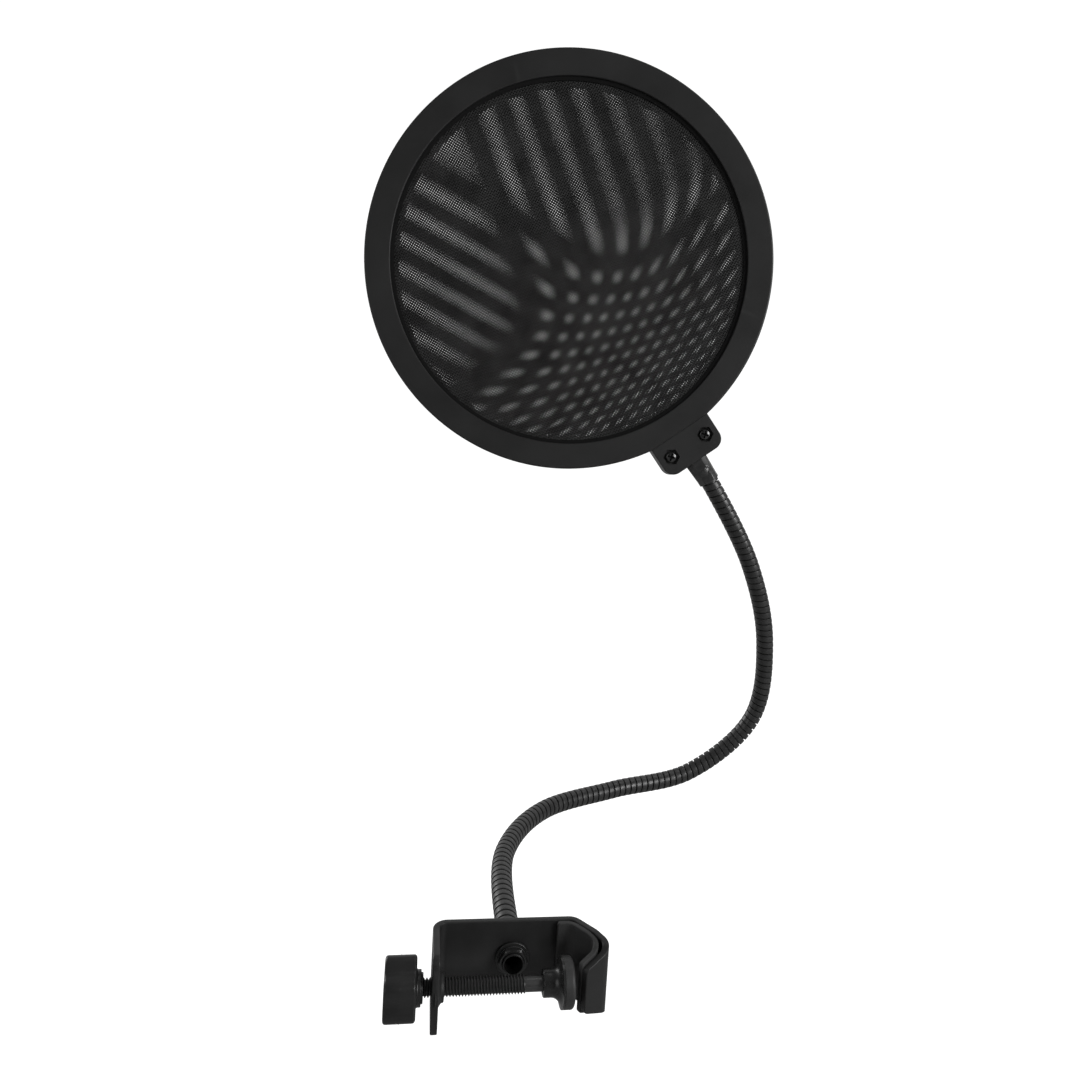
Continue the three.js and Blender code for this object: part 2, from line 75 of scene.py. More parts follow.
# The jaw's corners lie this far from the threaded leg's inner face and from the screw's axis.
JAW = {"first": 37, "apex": (45.1, 0.9), "tip": (37.2, -3.9), "bend": 3, "taper": 5.5}
JAW_HEIGHTS = {"apex": 18.6, "tip": 9.2}
BOSS = {"radius": 3.5, "height": 1.4, "foot": 2, "neck": 1.1}
DRILL_REACH = 9
LINER = {"start": 32.2, "thickness": 1.4, "bends": [6.5, 4.2], "trim": 0.2, "gap": 0.04, "corner": 0.6}
THREAD = {"pitch": 0.8, "crest": 2.35, "root": 1.85, "play": 0.1}
SHANK = {"radius": 1.88, "length": 8.85, "edge": 0.4}
KNOB = {"lobe": 0.7, "lobes": 6, "edge": 0.7, "hub_length": 1.7, "hub": 4.3, "hub_step": (0.5, 0.7)}
KNOB_SEAM = {"half_width": 0.2, "height": 0.07}
KNOB_CAP = {"recess": 1.2, "gap": 0.25, "proud": 0.1, "edge": 1.5}
PAD = {"collar": 3.4, "bore": 2.1, "collar_length": 2.1, "rim": 0.5, "web": 1}
PAD_FACE = {"edge": 0.9, "land": 2.2, "dish": 2.6, "depth": 0.25}
STUD = {"radius": 3.0, "bore": 2.55, "hole": 3.2}
WASHER_BORE = 0.72  # share of the lower ferrule's radius
BASE_FERRULE = {"socket": 3.5, "floor": 3, "waist": 0.12, "waist_from": 5.2, "waist_to": 0.9, "slope": 0.3}
NUT_CHAMFER = 0.25
BORE_CHAMFER = 0.15
NUT_SHARP, SCREW_SHARP = 25, 40  # degrees between faces that meet in a crease
COIL = {"radius": 3.45, "pitch": 2.7, "gap": 0.52, "depth": 0.8, "crown": 0.05, "tilt": 0.05}
COIL_FLOOR = (0.15, 0.75)  # where the groove's floor lies, in shares of the gap between the bands
COIL_ENDS = {"start": 3, "stop": 0.5, "seat": 4.8}
HOOP_WALL = 1.9
HOOP_FLANGE = 1.8
HOOP_DISH = 0.8
LEDGE = {"inner": 66.4, "outer": 69.4, "flange": 67.8, "front": 2.45, "rim": 2.1, "back": 1.9, "wall": 1}
BLOCK_SHARP = 32  # degrees between faces of the hoop that meet in a crease
SPLIT = 0.04  # half the parting line between the hoop's halves
TAB = {"width": 25.7, "reach": 89.6, "chord": 76.6, "root": 2.4, "front": 3.5, "corner": 4.4, "edge": 0.35}
STEP = {"reach": 10, "height": 4, "slope": 4, "trim": 0.1, "rounding": (0.2, 0.01)}
GROOVE = {"from": 70, "to": 95, "play": 0.1}
POCKET = {"across": 5.6, "depth": 1.6, "hole": 1.6}
TAB_SCREW = {"head": 2.1, "rise": 1.35, "shank": 1.2, "turn": 40, "lift": 0.03}
PAN = {"side": 0.75, "top": 0.45}  # its straight side and flat top, in shares of the head's rise and radius
TAB_NUT = {"across": 5, "play": 0.1}
CROSS = {"length": 3, "width": 0.8, "floor": 0.2, "taper": 0.5, "middle": 1.25, "rounding": (0.1, 0.02)}
FERRULE = {"wide": 4.65, "thin": 2.25, "round": 4.1, "rounding": 5.2, "socket": 3.5, "inside": 2}
FERRULE_RIDGE = {"flat": 0.3, "growth": 0.5}  # rounding of its creases where it is flat, and what is added
FERRULE_LIP = {"length": 0.3, "draw": 0.03}  # the mouth's edge is drawn in by this share
CREASES = (8, 39, 70, 127, 172)  # degrees round the squeezed ferrule's front half
DIMPLE = {"along": 4.6, "across": 1.35, "width": 0.75, "depth": 0.4}
CAMERA = {"place": (-28.2, -200.4, 143.2), "aim": (15.4, 95.3, 117.3), "roll": 3.23, "lens": 25.77}
WEAVE = {"pitch": 0.85, "width": 0.57, "thickness": 0.12, "lift": 0.065}  # lift is over and under
SHEET = {"radius": 68.4, "level": 1.63, "turn": -28}  # level is its height, turn the weave's in degrees
# How far the two sheets are pulled apart, in pitches. Places on them are in shares of the radius. Each
# course has a rate, a start and a softness. The lower right corner is pulled further.
PARTING = {"down": (6.4, -0.15, 0.1), "right": (5.5, -0.33, 0.07), "corner": (6, 0.25, 0.12)}
PARTING_SLOPE = 0.45
CORNER_PULL = (5, 1.6)
SHIFT = (0.1, 0.05)


def low(node):
    return np.array(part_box(node)[0]) / MM


def high(node):
    return np.array(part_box(node)[1]) / MM


def centre(node):
    return (low(node) + high(node)) / 2


def joint_point(name):
    return np.array(joints[name]["pos_m"]) / MM


def points_of(node):
    return np.array([vertex.co for vertex in frame["nodes"][node].data.vertices]) / MM


def unit(vector):
    vector = np.asarray(vector, float)
    return vector / np.linalg.norm(vector)


# ---- Mesh helpers ----


def grid(points, wrap_rows=True):
    """Faces over rows of points. Each row closes on itself, and the rows close on each other if wrapped."""
    rows, columns = points.shape[:2]
    index = np.arange(rows * columns).reshape(rows, columns)
    here = index if wrap_rows else index[:-1]
    ahead = np.roll(index, -1, 0) if wrap_rows else index[1:]
    quads = np.stack([here, np.roll(here, -1, 1), np.roll(ahead, -1, 1), ahead], -1)
    return points.reshape(-1, 3), quads.reshape(-1, 4)


def merge(*shapes):
    """Several shapes as one."""
    points, faces, offset = [], [], 0
    for shape_points, shape_faces in shapes:
        points.append(shape_points)
        faces.append(shape_faces + offset)
        offset += len(shape_points)
    return np.concatenate(points), np.concatenate(faces)


def tidy_mesh(mesh, sharp):
    """Welds a mesh, fills its open loops, turns its faces outwards and shades it smooth up to an angle."""
    shape = bmesh.new()
    shape.from_mesh(mesh)
    bmesh.ops.remove_doubles(shape, verts=shape.verts, dist=1e-4 * MM)
    wires = [edge for edge in shape.edges if edge.is_wire]
    bmesh.ops.delete(shape, geom=wires, context="EDGES")
    open_edges = [edge for edge in shape.edges if edge.is_boundary]
    if open_edges:
        bmesh.ops.holes_fill(shape, edges=open_edges, sides=0)
    bmesh.ops.recalc_face_normals(shape, faces=shape.faces)
    shape.to_mesh(mesh)
    shape.free()
    mesh.shade_smooth()
    mesh.set_sharp_from_angle(angle=math.radians(sharp))


def make(name, shape, material, sharp=38):
    points, faces = shape
    mesh = bpy.data.meshes.new(name)
    mesh.from_pydata((np.asarray(points) * MM).tolist(), [], np.asarray(faces).tolist())
    tidy_mesh(mesh, sharp)
    mesh.materials.append(material)
    made = bpy.data.objects.new(name, mesh)
    bpy.context.scene.collection.objects.link(made)
    return made


def combine(body, tool, operation, sharp=38):
    """Joins a tool to a body, or cuts it away, and removes the tool."""
    modifier = body.modifiers.new("combine", "BOOLEAN")
    modifier.operation = operation
    modifier.solver = "EXACT"
    modifier.object = tool
    depsgraph = bpy.context.evaluated_depsgraph_get()
    mesh = bpy.data.meshes.new_from_object(body.evaluated_get(depsgraph))
    body.modifiers.clear()
    body.data = mesh
    bpy.data.objects.remove(tool)
    tidy_mesh(mesh, sharp)
    return body


def install(piece, *nodes):
    """A rigid piece stands for CAD nodes and rides on their body. Its broad faces are shaded flat, and
    only its rounded edges smooth."""
    shading = piece.modifiers.new("even_shading", "WEIGHTED_NORMAL")
    shading.keep_sharp = True
    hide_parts(*nodes)
    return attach(piece, body_of[nodes[0]])


def rounded(points, radius, steps=4, closed=True):
    """A line with an arc at each corner. radius is one number, or one for each corner."""
    points = [np.asarray(point, float) for point in points]
    radii = radius if isinstance(radius, (list, tuple)) else [radius] * len(points)
    last = len(points) - 1
    result = []
    for i, (corner, wanted) in enumerate(zip(points, radii)):
        if wanted <= 0 or (not closed and i in (0, last)):
            result.append(corner)
            continue
        before, after = points[i - 1] - corner, points[(i + 1) % len(points)] - corner
        shorter = min(np.linalg.norm(before), np.linalg.norm(after))
        before, after = unit(before), unit(after)
        half = math.acos(np.clip(before @ after, -1, 1)) / 2
        if half > 1.5:  # nearly straight
            result.append(corner)
            continue
        reach = min(wanted / math.tan(half), 0.49 * shorter)
        middle = corner + unit(before + after) * reach / math.cos(half)
        start, end = corner + before * reach - middle, corner + after * reach - middle
        sweep = math.pi - 2 * half
        for k in range(steps + 1):
            share = k / steps
            turned = math.sin((1 - share) * sweep) * start + math.sin(share * sweep) * end
            result.append(middle + turned / math.sin(sweep))
    return np.array(result)


def lathe(profile, origin, axis, sides=96, start=None, shape=None):
    """A closed profile of (distance along the axis, radius) turned about one of the axes. shape may
    change the radius with the angle, which is counted from start."""
    first = np.roll(axis, 1) if start is None else start
    second = np.cross(axis, first)
    angle = np.arange(sides) * TURN / sides
    around = np.cos(angle)[:, None] * first + np.sin(angle)[:, None] * second
    profile = np.asarray(profile, float)
    radius = np.repeat(profile[:, 1, None], sides, 1)
    if shape:
        radius = shape(radius, angle[None, :])
    points = origin + profile[:, 0, None, None] * axis + radius[:, :, None] * around[None]
    return grid(points)


def hexagonal(across):
    """A lathe's shape: radii past a hexagon's flats are held to them."""

    def shape(radius, angle):
        off_middle = (angle + TURN / 12) % (TURN / 6) - TURN / 12
        return np.minimum(radius, across / 2 / np.cos(off_middle))

    return shape


def resample(line, spacing, edge):
    """Points along a line with their unit tangents and distances from both ends, closer near the ends."""
    steps = np.linalg.norm(np.diff(line, axis=0), axis=1)
    length = np.concatenate([[0], np.cumsum(steps)])
    total = length[-1]
    even = np.linspace(0, total, int(total / spacing) + 1)
    near = edge * (1 - np.cos(np.linspace(0, TURN / 4, 5)))
    inside = even[(even > edge) & (even < total - edge)]
    at = np.concatenate([near, inside, total - near[::-1]])
    points = np.stack([np.interp(at, length, line[:, k]) for k in range(line.shape[1])], 1)
    tangents = np.gradient(points, at, axis=0)
    tangents /= np.linalg.norm(tangents, axis=1)[:, None]
    return points, tangents, at, total - at


def strip(line, thickness, half_width, edge, level):
    """A flat strip with rounded edges along a line in X and Y. half_width gives half its extent in Z."""
    points, tangents, from_start, from_end = resample(line, spacing=0.4, edge=edge)
    inside = np.minimum(np.minimum(from_start, from_end), edge)
    insets = edge - np.sqrt(edge**2 - (edge - inside) ** 2)
    halves = half_width(points, from_start, from_end)
    rows = []
    for point, (along_x, along_y), inset, half in zip(points, tangents, insets, halves):
        x, z = thickness / 2 - inset, half - inset
        section = rounded([(-x, -z), (x, -z), (x, z), (-x, z)], max(edge - inset, 0.02), steps=3)
        sideways = np.stack([-along_y * section[:, 0], along_x * section[:, 0], section[:, 1]], 1)
        rows.append(np.array([*point, level]) + sideways)
    return grid(np.array(rows), wrap_rows=False)


def screw_surface(place, profile, pitch, turns, sides, start=0.0):
    """A surface whose profile of (share of the pitch, radius) winds along. place puts (distance along,
    angle, radius) in space."""
    shares, radii = np.asarray(profile, float).T
    steps = np.arange(turns * sides + 1)
    along = start + pitch * (steps[:, None] / sides + shares[None, :])
    angle = np.repeat((steps * TURN / sides)[:, None], len(shares), 1)
    radius = np.repeat(radii[None, :], len(steps), 0)
    points = place(along.ravel(), angle.ravel(), radius.ravel())
    index = np.arange(along.size).reshape(along.shape)
    bands = np.stack([index[:-1, :-1], index[1:, :-1], index[1:, 1:], index[:-1, 1:]], -1)
    earlier, later = index[: -1 - sides], index[1:-sides]
    seams = np.stack([earlier[:, -1], later[:, -1], index[1 + sides :, 0], index[sides:-1, 0]], -1)
    return points, np.concatenate([bands.reshape(-1, 4), seams])


# ---- Materials ----

NOISE_SPAN = (0.3, 0.7)  # where nearly all of a noise's values lie
EDGE_SPAN = (0.53, 0.62)  # pointiness from a flat face to a rounded edge
EDGE_WEAR_AND_HIGHLIGHT_SPAN = (0.35, 0.6)  # the patches' values over which the edges' lightening grows, part wear and part painted highlight
GLOSS_SPREAD = 0.06  # roughness to both sides of a material's own


def surface(
    name, shade, roughness, metallic=0.0, grain=0.3, relief=0.01, mottle=0.25, edge_wear_and_highlight=0.0,
    stretch=(1, 1, 1), specular=0.5, patch=9.0,
):
    """A material with grain, patches of colour and gloss, and lighter edges, partly wear and partly painted
    highlight.
    grain and patch are sizes in millimetres, relief a height in millimetres, mottle and the edges' lightening
    shares of the shade."""
    material = bpy.data.materials.new(name)
    material.use_nodes = True
    nodes, links = material.node_tree.nodes, material.node_tree.links
    shader = nodes["Principled BSDF"]
    place = nodes.new("ShaderNodeTexCoord")
    mapping = nodes.new("ShaderNodeMapping")
    mapping.inputs["Scale"].default_value = stretch
    links.new(place.outputs["Object"], mapping.inputs["Vector"])

    def noise(size, detail):
        texture = nodes.new("ShaderNodeTexNoise")
        texture.inputs["Scale"].default_value = 1 / (size * MM)
        texture.inputs["Detail"].default_value = detail
        links.new(mapping.outputs["Vector"], texture.inputs["Vector"])
        return texture.outputs["Fac"]

    def ranged(value, low_in, high_in, low_out, high_out):
        scale = nodes.new("ShaderNodeMapRange")
        for socket, number in zip(scale.inputs[1:5], (low_in, high_in, low_out, high_out)):
            socket.default_value = number
        links.new(value, scale.inputs["Value"])
        return scale.outputs["Result"]

    def maths(operation, one, other):
        step = nodes.new("ShaderNodeMath")
        step.operation = operation
        for socket, value in zip(step.inputs, (one, other)):
            if isinstance(value, (int, float)):
                socket.default_value = value
            else:
                links.new(value, socket)
        return step.outputs["Value"]

    fine, patches = noise(grain, 3), noise(patch, 4)
    level = ranged(patches, *NOISE_SPAN, shade * (1 - mottle), shade * (1 + mottle))
    level = maths("MULTIPLY", level, ranged(fine, *NOISE_SPAN, 1 - mottle / 2, 1 + mottle / 2))
    # Convex edges are lightened, partly as wear and partly as a painted highlight.
    if edge_wear_and_highlight:
        form = nodes.new("ShaderNodeNewGeometry")
        edges = ranged(form.outputs["Pointiness"], *EDGE_SPAN, 0, edge_wear_and_highlight)
        level = maths("ADD", level, maths("MULTIPLY", edges, ranged(patches, *EDGE_WEAR_AND_HIGHLIGHT_SPAN, 0.2, 1)))
    colour = nodes.new("ShaderNodeCombineColor")
    for channel in colour.inputs[:3]:
        links.new(level, channel)
    links.new(colour.outputs["Color"], shader.inputs["Base Color"])
    gloss = ranged(patches, *NOISE_SPAN, roughness - GLOSS_SPREAD, roughness + GLOSS_SPREAD)
    links.new(gloss, shader.inputs["Roughness"])
    bump = nodes.new("ShaderNodeBump")
    bump.inputs["Distance"].default_value = relief * MM
    links.new(fine, bump.inputs["Height"])
    links.new(bump.outputs["Normal"], shader.inputs["Normal"])
    shader.inputs["Metallic"].default_value = metallic
    shader.inputs["Specular IOR Level"].default_value = specular
    return material


# On the hoop the lighter edges paint the highlight along the flange's inner edge; on the bracket's coat they are
# part wear, part painted highlight.
powder_coat = surface(
    "powder_coat", 0.01, 0.5, grain=0.25, relief=0.012, mottle=0.2, edge_wear_and_highlight=0.012, specular=0.4
)
hoop_plastic = surface(
    "hoop_plastic", 0.0125, 0.5, grain=0.18, relief=0.008, mottle=0.15, edge_wear_and_highlight=0.02, specular=0.4, patch=22
)
# A dull near-black painted on the hoop's ledge as painted shade.
ledge_painted_shade = surface("ledge_painted_shade", 0.004, 0.8, grain=0.3, relief=0.03, specular=0.15)
knob_plastic = surface("knob_plastic", 0.013, 0.4, grain=0.2, relief=0.01, mottle=0.2, specular=0.4)
black_steel = surface(
    "black_steel", 0.014, 0.4, metallic=0.2, grain=0.2, relief=0.004, mottle=0.3, edge_wear_and_highlight=0.02, patch=3
)
ferrule_finish = surface(
    "ferrule_finish", 0.034, 0.33, metallic=0.15, grain=0.2, relief=0.003, mottle=0.25, patch=3
)
drawn_steel = surface(
    "drawn_steel", 0.07, 0.34, metallic=0.7, grain=0.12, relief=0.003, mottle=0.3, stretch=(0.1, 1, 1)
)
coil_finish = surface(
    "coil_finish", 0.021, 0.4, grain=0.15, relief=0.004, mottle=0.25, specular=0.48, patch=4
)
cup_finish = surface("cup_finish", 0.018, 0.28, metallic=0.15, grain=0.2, relief=0.003, mottle=0.2, patch=3)
screw_finish = surface("screw_finish", 0.07, 0.3, metallic=0.9, grain=0.1, relief=0.004, mottle=0.3, patch=1)
# A dark metal painted in the screws' cross recesses as painted shade.
recess_painted_shade = surface("recess_painted_shade", 0.008, 0.5, metallic=0.5, grain=0.1, relief=0.006, mottle=0.3)
liner_rubber = surface("liner_rubber", 0.034, 0.65, grain=0.3, relief=0.03, mottle=0.3, specular=0.3)
pad_rubber = surface("pad_rubber", 0.028, 0.5, grain=0.25, relief=0.015, mottle=0.25, specular=0.4)
nylon = surface("nylon", 0.026, 0.65, grain=0.1, relief=0.01, mottle=0.4, specular=0.2)

# ---- The clamp ----

screw_axis = joint_point("screw_turn")
screw_origin = screw_axis * [0, 1, 1]
stud_origin = joint_point("neck_swivel") * [1, 0, 1]
leg_face = low("bracket")[0] + STRIP  # the threaded leg's inner face
web_middle = high("bracket")[1] - STRIP / 2
strip_half = (high("bracket")[2] - low("bracket")[2]) / 2
strip_level = centre("bracket")[2]
jaw_first = (leg_face + JAW["first"], web_middle)
jaw_apex = (leg_face + JAW["apex"][0], screw_axis[1] + JAW["apex"][1])
jaw_tip = (leg_face + JAW["tip"][0], screw_axis[1] + JAW["tip"][1])


def jaw_half(points, trim=0.0):
    """Half the jaw's height, which falls from the web's to the tip's as Y falls."""
    levels = [jaw_tip[1] - STRIP, jaw_apex[1], screw_axis[1] + JAW["taper"]]
    halves = [JAW_HEIGHTS["tip"] / 2, JAW_HEIGHTS["apex"] / 2, strip_half]
    return np.interp(points[:, 1], levels, halves) - trim


def end_corner(distance, radius):
    """How much a rounded corner takes off at a distance from the end."""
    inside = np.clip(radius - distance, 0, radius)
    return radius - np.sqrt(radius**2 - inside**2)


def bracket():
    leg_x = leg_face - STRIP / 2
    corners = [(leg_x, low("bracket")[1]), (leg_x, web_middle), jaw_first, jaw_apex, jaw_tip]
    line = rounded(corners, JAW["bend"], steps=24, closed=False)

    def half_width(points, from_start, from_end):
        leg = strip_half - end_corner(from_start, LEG_CORNER)
        jaw = jaw_half(points) - end_corner(from_end, TIP_CORNER)
        return np.where(points[:, 0] < leg_face + STRIP, leg, jaw)

    made = make("clamp_bracket", strip(line, STRIP, half_width, STRIP_EDGE, strip_level), powder_coat)
    origin = np.array([leg_face, *screw_axis[1:]])
    radius, height = BOSS["radius"], BOSS["height"]
    inner = THREAD["crest"] + THREAD["play"]
    bore = inner - 0.3  # the hole is drilled through the boss later
    boss = rounded(
        [(-STRIP / 2, bore), (-STRIP / 2, radius + BOSS["foot"]), (0, radius + BOSS["neck"]),
         (height * 0.55, radius), (height, radius), (height, bore)],
        [0, 0, 1.2, 0.8, 0.35, 0],
    )
    combine(made, make("boss", lathe(boss, origin, X_AXIS), powder_coat), "UNION")
    drill(made, origin, X_AXIS, inner)
    drill(made, joint_point("neck_swivel"), Y_AXIS, STUD["hole"])
    return install(made, "bracket")


def drill(made, origin, axis, radius):
    """A hole through the strip."""
    profile = [(-DRILL_REACH, 0), (-DRILL_REACH, radius), (DRILL_REACH, radius), (DRILL_REACH, 0)]
    combine(made, make("hole", lathe(profile, origin, axis), powder_coat), "DIFFERENCE")


def moved(corners, distance):
    """A line's corners moved sideways, to the right of its direction."""
    corners = [np.array(corner, float) for corner in corners]
    normals = [unit((end - start)[[1, 0]] * [1, -1]) for start, end in zip(corners, corners[1:])]
    result = []
    for i, corner in enumerate(corners):
        before, after = normals[max(i - 1, 0)], normals[min(i, len(normals) - 1)]
        middle = unit(before + after)
        result.append(corner + middle * distance / (middle @ before))
    return result


def liner():
    start = (leg_face + LINER["start"], web_middle)
    reach = STRIP / 2 + LINER["thickness"] / 2 + LINER["gap"]
    corners = moved([start, jaw_first, jaw_apex, jaw_tip], reach)
    line = rounded(corners, [0, *LINER["bends"], 0], steps=24, closed=False)

    def half_width(points, from_start, from_end):
        nearest_end = np.minimum(from_start, from_end)
        return jaw_half(points, LINER["trim"]) - end_corner(nearest_end, LINER["corner"])

    shape = strip(line, LINER["thickness"], half_width, STRIP_EDGE, strip_level)
    return install(make("jaw_lining", shape, liner_rubber), "jaw_liner")


def thumbscrew():
    start = high("knob")[0] - 2  # inside the knob's hub
    end = high("clamp_screw")[0]
    thread_end = end - SHANK["length"]
    radius = SHANK["radius"]
    inside_shank = radius - 0.1
    pitch, crest, root = THREAD["pitch"], THREAD["crest"], THREAD["root"]

    def place(along, angle, radii):
        """On the screw's axis. The thread runs out into the shank over its last turn."""
        full = np.clip((thread_end - along) / pitch + 0.5, 0, 1)
        radii = (radii * full + inside_shank * (1 - full))[:, None]
        across = np.stack([np.zeros_like(angle), np.cos(angle), np.sin(angle)], 1) * radii
        return across + screw_origin + np.outer(along, X_AXIS)

    profile = [(0, root), (0.1, root), (0.44, crest), (0.56, crest), (0.9, root)]  # shares of the pitch
    turns = math.ceil((thread_end - start) / pitch) + 1
    thread = screw_surface(place, profile, pitch, turns, 48, start)
    shank_start = thread_end - 2 * pitch
    corners = [(shank_start, 0), (shank_start, radius), (end, radius), (end, 0)]
    shank = rounded(corners, [0, 0, SHANK["edge"], 0])
    shapes = merge(thread, lathe(shank, screw_origin, X_AXIS))
    return install(make("thumbscrew", shapes, drawn_steel, sharp=30), "clamp_screw")


def knob():
    outer, hub_end = low("knob")[0], high("knob")[0]
    grip_end = hub_end - KNOB["hub_length"]
    from_axis = points_of("knob")[:, 1:] - screw_axis[1:]
    reaches = np.linalg.norm(from_axis, axis=1)
    lobe_tip = (0, *unit(from_axis[reaches.argmax()]))
    radius = reaches.max() - KNOB["lobe"]
    middle = (outer + grip_end) / 2
    cap = (high("knob_cap")[1] - low("knob_cap")[1]) / 2
    edge, hub = KNOB["edge"], KNOB["hub"]
    step_length, step = KNOB["hub_step"]
    seam, ridge = KNOB_SEAM["half_width"], KNOB_SEAM["height"]
    floor, opening = outer + KNOB_CAP["recess"], cap + KNOB_CAP["gap"]
    profile = rounded(
        [(floor, 0), (floor, opening), (outer, opening), (outer, radius),
         (middle - seam, radius), (middle, radius + ridge), (middle + seam, radius), (grip_end, radius),
         (grip_end, hub), (hub_end - step_length, hub), (hub_end - step_length, hub - step),
         (hub_end, hub - step), (hub_end, 0)],
        [0, 0, 0.25, edge, 0, 0, 0, edge, 0.4, 0.2, 0.1, 0.2, 0],
    )

    def lobed(radii, angle):
        inside = cap + 1  # the lobes fade out towards this radius
        share = np.clip((radii - inside) / (radius - inside), 0, 1)
        return radii + KNOB["lobe"] * share * np.cos(KNOB["lobes"] * angle)

    shape = lathe(profile, screw_origin, X_AXIS, sides=144, start=lobe_tip, shape=lobed)
    install(make("thumbscrew_knob", shape, knob_plastic), "knob")
    face = rounded(
        [(floor, 0), (floor, cap), (outer + KNOB_CAP["proud"], cap), (outer, cap - KNOB_CAP["edge"]),
         (outer, 0)],
        [0, 0, 0.3, 0.8, 0],
    )
    return install(make("knob_end_cap", lathe(face, screw_origin, X_AXIS), knob_plastic), "knob_cap")


def pad():
    start, disc = low("pad_cup")[0], high("pad_cup")[0]
    radius = (high("pad_cup")[2] - low("pad_cup")[2]) / 2
    collar, bore = PAD["collar"], PAD["bore"]
    flare_start, flare_end = start + PAD["collar_length"], disc - PAD["rim"]
    collar_edge = rounded([(start, bore), (start, collar), (flare_start, collar)], 0.35, closed=False)
    curve = []
    for angle in np.linspace(0, TURN / 4, 12):
        along = flare_start + (flare_end - flare_start) * math.sin(angle)
        curve.append((along, radius - (radius - collar) * math.cos(angle)))
    web = disc - PAD["web"]
    profile = [
        (start, bore), *collar_edge[1:-1], *curve, (disc, radius), (disc, 0), (web, 0), (web, bore),
    ]
    install(make("pad_flare", lathe(profile, screw_origin, X_AXIS), cup_finish), "pad_cup")
    end = high("pad_face")[0]
    land, dish = radius - PAD_FACE["land"], radius - PAD_FACE["dish"]
    floor = end - PAD_FACE["depth"]
    face = rounded(
        [(disc, 0), (disc, radius), (end, radius), (end, land), (floor, dish), (floor, 0)],
        [0, 0.15, PAD_FACE["edge"], 0.3, 0.3, 0], steps=6,
    )
    return install(make("pad_disc", lathe(face, screw_origin, X_AXIS), pad_rubber), "pad_face")


# ---- The stud and the lower ferrule ----


base_radius = (high("neck_base_ferrule")[0] - low("neck_base_ferrule")[0]) / 2


def washer(name, node, material, edge):
    """A flat ring on the stud."""
    bore = base_radius * WASHER_BORE
    near, far = low(node)[1], high(node)[1]
    radius = (high(node)[0] - low(node)[0]) / 2
    profile = rounded([(near, bore), (near, radius), (far, radius), (far, bore)], edge)
    return install(make(name, lathe(profile, stud_origin, Y_AXIS), material), node)


def stud_nut():
    """A thin nut with chamfered corners and a rounded bore."""
    near, far = low("stud_nut")[1], high("stud_nut")[1]
    across, bore = high("stud_nut")[2] - low("stud_nut")[2], STUD["radius"]
    corner, flat = across / math.sqrt(3) + 0.1, across / 2 + 0.05  # just past the hexagon's own
    profile = [
        (near, bore + BORE_CHAMFER), (near, flat), (near + NUT_CHAMFER, corner), (far - NUT_CHAMFER, corner),
        (far, flat), (far, bore + BORE_CHAMFER), (far - BORE_CHAMFER, bore), (near + BORE_CHAMFER, bore),
    ]
    shape = lathe(profile, stud_origin, Y_AXIS, 96, Z_AXIS, hexagonal(across))
    return install(make("stud_thin_nut", shape, drawn_steel, NUT_SHARP), "stud_nut")


def base_ferrule():
    """The lower ferrule, in one piece with its hollow stud."""
    stud_end, end = low("neck_base_ferrule")[1], high("neck_base_ferrule")[1]
    back = high("bracket")[1]
    stud, bore, socket = STUD["radius"], STUD["bore"], BASE_FERRULE["socket"]
    waist, slope = base_radius - BASE_FERRULE["waist"], BASE_FERRULE["slope"]
    waist_start, waist_end = end - BASE_FERRULE["waist_from"], end - BASE_FERRULE["waist_to"]
    floor = back + BASE_FERRULE["floor"]
    profile = rounded(
        [(stud_end, bore), (stud_end, stud), (back, stud), (back, base_radius), (waist_start, base_radius),
         (waist_start + slope, waist), (waist_end - slope, waist), (waist_end, base_radius),
         (end, base_radius), (end, socket), (floor, socket), (floor, bore)],
        [0.1, 0.15, 0, 0.4, 0.3, 0.3, 0.3, 0.3, 0.45, 0.1, 0, 0],
    )
    shape = lathe(profile, stud_origin, Y_AXIS)
    return install(make("neck_ferrule_lower", shape, black_steel), "neck_base_ferrule")


def base_fittings():
    base_ferrule()
    washer("stud_flat_washer", "stud_washer", black_steel, 0.25)
    washer("stud_spring_washer", "stud_lock_washer", drawn_steel, 0.1)
    stud_nut()


# ---- The gooseneck ----

bends = [joint_point(f"neck_bend_{k}") for k in range(1, 8)]
head_centre = (centre("front_mesh") + centre("rear_mesh")) / 2
head_normal = unit(centre("front_mesh") - centre("rear_mesh"))
screws_middle = (centre("tab_screw_left") + centre("tab_screw_right")) / 2 - head_centre
tab_along = unit(screws_middle - (screws_middle @ head_normal) * head_normal)
tab_across = np.cross(head_normal, tab_along)
ferrule_points = points_of("top_ferrule")
ferrule_end = ((ferrule_points - head_centre) @ tab_along).max()


def curve_through(points, per_length=4):
    """A centripetal Catmull-Rom curve through points, as in the CAD, in fine steps."""
    points = [2 * points[0] - points[1], *points, 2 * points[-1] - points[-2]]
    result = []
    for before, start, end, after in zip(points, points[1:], points[2:], points[3:]):
        gaps = [np.sqrt(np.linalg.norm(b - a)) for a, b in ((before, start), (start, end), (end, after))]
        leave = (start - before) / gaps[0] - (end - before) / (gaps[0] + gaps[1]) + (end - start) / gaps[1]
        arrive = (end - start) / gaps[1] - (after - start) / (gaps[1] + gaps[2]) + (after - end) / gaps[2]
        leave, arrive = leave * gaps[1], arrive * gaps[1]
        steps = max(int(np.linalg.norm(end - start) * per_length), 2)
        t = np.linspace(0, 1, steps, endpoint=False)[:, None]
        square = -3 * start + 3 * end - 2 * leave - arrive
        cube = 2 * start - 2 * end + leave + arrive
        result.append(start + leave * t + square * t**2 + cube * t**3)
    return np.concatenate([*result, points[-2][None]])


